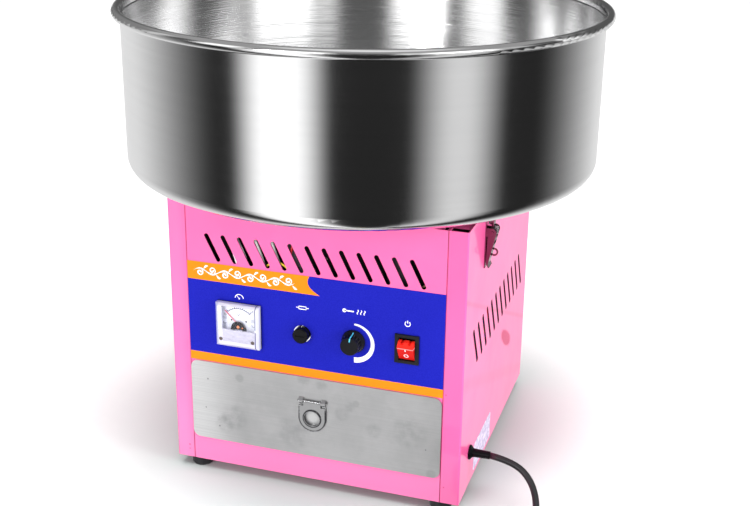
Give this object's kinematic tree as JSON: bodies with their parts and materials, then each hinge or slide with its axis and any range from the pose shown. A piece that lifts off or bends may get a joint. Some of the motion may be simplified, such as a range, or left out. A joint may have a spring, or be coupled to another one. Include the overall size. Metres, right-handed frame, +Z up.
{
  "type": "candy floss machine",
  "caption": "Countertop candy floss machine: square louvred case with a tool drawer, deep spun bowl, heated spinning head and toggle latches.",
  "frame": {"origin": "on the ground under the spindle, at the middle of the bowl", "axes": "+Z up along the spindle, -Y towards the drawer and controls, +X to the user's right"},
  "size_m": [0.5193, 0.5635, 0.4956],
  "materials": {
    "painted_sheet": "gloss",
    "overlay": "gloss",
    "stainless": "satin",
    "zinc_steel": "satin",
    "chrome": "polished",
    "aluminium": "satin",
    "rubber": "matt",
    "black_plastic": "satin",
    "clear_plastic": "clear",
    "white_plastic": "matt",
    "red_plastic": "gloss",
    "red_paint": "matt",
    "brown_board": "matt",
    "green_board": "matt",
    "copper": "polished",
    "carbon": "matt",
    "motor_paint": "satin"
  },
  "bodies": {
    "case": {"side_panel_left": "painted_sheet", "side_panel_right": "painted_sheet", "front_panel": "painted_sheet", "rear_panel": "painted_sheet", "top_deck": "painted_sheet", "base_plate": "painted_sheet", "foot_front_left": "rubber", "foot_front_right": "rubber", "foot_rear_left": "rubber", "foot_rear_right": "rubber", "case_screws": "chrome", "front_overlay": "overlay", "meter_case": "black_plastic", "meter_cover": "clear_plastic", "meter_dial": "white_plastic", "meter_shroud": "black_plastic", "fuse_holder": "black_plastic", "fuse_washer": "chrome", "potentiometer": "zinc_steel", "switch_housing": "black_plastic", "rail_left": "zinc_steel", "rail_right": "zinc_steel", "bowl": "stainless", "bowl_catches": "stainless", "seat_ring": "rubber", "brush_holder": "brown_board", "brushes": "carbon", "motor_body": "motor_paint", "motor_bells": "aluminium", "bearings": "zinc_steel", "motor_bracket": "zinc_steel", "motor_cushions": "rubber", "control_board": "green_board", "latch_base_right": "chrome", "latch_base_left": "chrome", "latch_base_rear": "chrome", "cord_gland": "rubber", "power_cord": "rubber", "cord_coil": "rubber", "plug": "rubber"},
    "drawer": {"drawer_tray": "stainless", "drawer_front": "stainless"},
    "pull": {"pull_plate": "stainless"},
    "head": {"head_pan": "aluminium", "heater_band": "zinc_steel", "head_cap": "aluminium", "head_studs": "zinc_steel", "spindle": "zinc_steel", "slip_hub": "brown_board", "slip_rings": "copper"},
    "knob": {"heat_knob": "black_plastic"},
    "rocker": {"switch_rocker": "red_plastic"},
    "needle": {"meter_needle": "red_paint"},
    "fuse_cap": {"fuse_cap": "black_plastic"},
    "lever_right": {"latch_lever_right": "chrome"},
    "hook_right": {"latch_hook_right": "chrome"},
    "lever_left": {"latch_lever_left": "chrome"},
    "hook_left": {"latch_hook_left": "chrome"},
    "lever_rear": {"latch_lever_rear": "chrome"},
    "hook_rear": {"latch_hook_rear": "chrome"}
  },
  "joints": [
    {"name": "head_spin", "type": "hinge", "parent": "case", "child": "head", "pos_m": [0, 0, 0.36], "axis": [0, 0, 1], "continuous": true},
    {"name": "drawer_slide", "type": "slide", "parent": "case", "child": "drawer", "axis": [0, -1, 0], "range_m": [0, 0.2]},
    {"name": "pull_swing", "type": "hinge", "parent": "drawer", "child": "pull", "pos_m": [0, -0.1587, 0.105], "axis": [-1, 0, 0], "range_deg": [0, 95]},
    {"name": "knob_turn", "type": "hinge", "parent": "case", "child": "knob", "pos_m": [0.044, -0.16, 0.1803], "axis": [0, 1, 0], "range_deg": [-180, 120]},
    {"name": "rocker_tilt", "type": "hinge", "parent": "case", "child": "rocker", "pos_m": [0.1, -0.151, 0.1803], "axis": [-1, 0, 0], "range_deg": [0, 24]},
    {"name": "needle_swing", "type": "hinge", "parent": "case", "child": "needle", "pos_m": [-0.0805, -0.16, 0.1803], "axis": [0, 1, 0], "range_deg": [0, 90]},
    {"name": "fuse_cap_turn", "type": "hinge", "parent": "case", "child": "fuse_cap", "pos_m": [-0.011, -0.16, 0.1803], "axis": [0, -1, 0], "range_deg": [0, 90]},
    {"name": "lever_right_swing", "type": "hinge", "parent": "case", "child": "lever_right", "pos_m": [0.1655, -0.076, 0.287], "axis": [0, -1, 0], "range_deg": [0, 120]},
    {"name": "hook_right_swing", "type": "hinge", "parent": "lever_right", "child": "hook_right", "pos_m": [0.1653, -0.076, 0.278], "axis": [0, -1, 0], "range_deg": [-120, 0]},
    {"name": "lever_left_swing", "type": "hinge", "parent": "case", "child": "lever_left", "pos_m": [-0.1655, -0.076, 0.287], "axis": [0, 1, 0], "range_deg": [0, 120]},
    {"name": "hook_left_swing", "type": "hinge", "parent": "lever_left", "child": "hook_left", "pos_m": [-0.1653, -0.076, 0.278], "axis": [0, 1, 0], "range_deg": [-120, 0]},
    {"name": "lever_rear_swing", "type": "hinge", "parent": "case", "child": "lever_rear", "pos_m": [0, 0.1685, 0.287], "axis": [1, 0, 0], "range_deg": [0, 120]},
    {"name": "hook_rear_swing", "type": "hinge", "parent": "lever_rear", "child": "hook_rear", "pos_m": [0, 0.1683, 0.278], "axis": [1, 0, 0], "range_deg": [-120, 0]}
  ],
  "couplings": [
    {"joint": "hook_right_swing", "follows": "lever_right_swing", "ratio": -1},
    {"joint": "hook_left_swing", "follows": "lever_left_swing", "ratio": -1},
    {"joint": "hook_rear_swing", "follows": "lever_rear_swing", "ratio": -1}
  ]
}
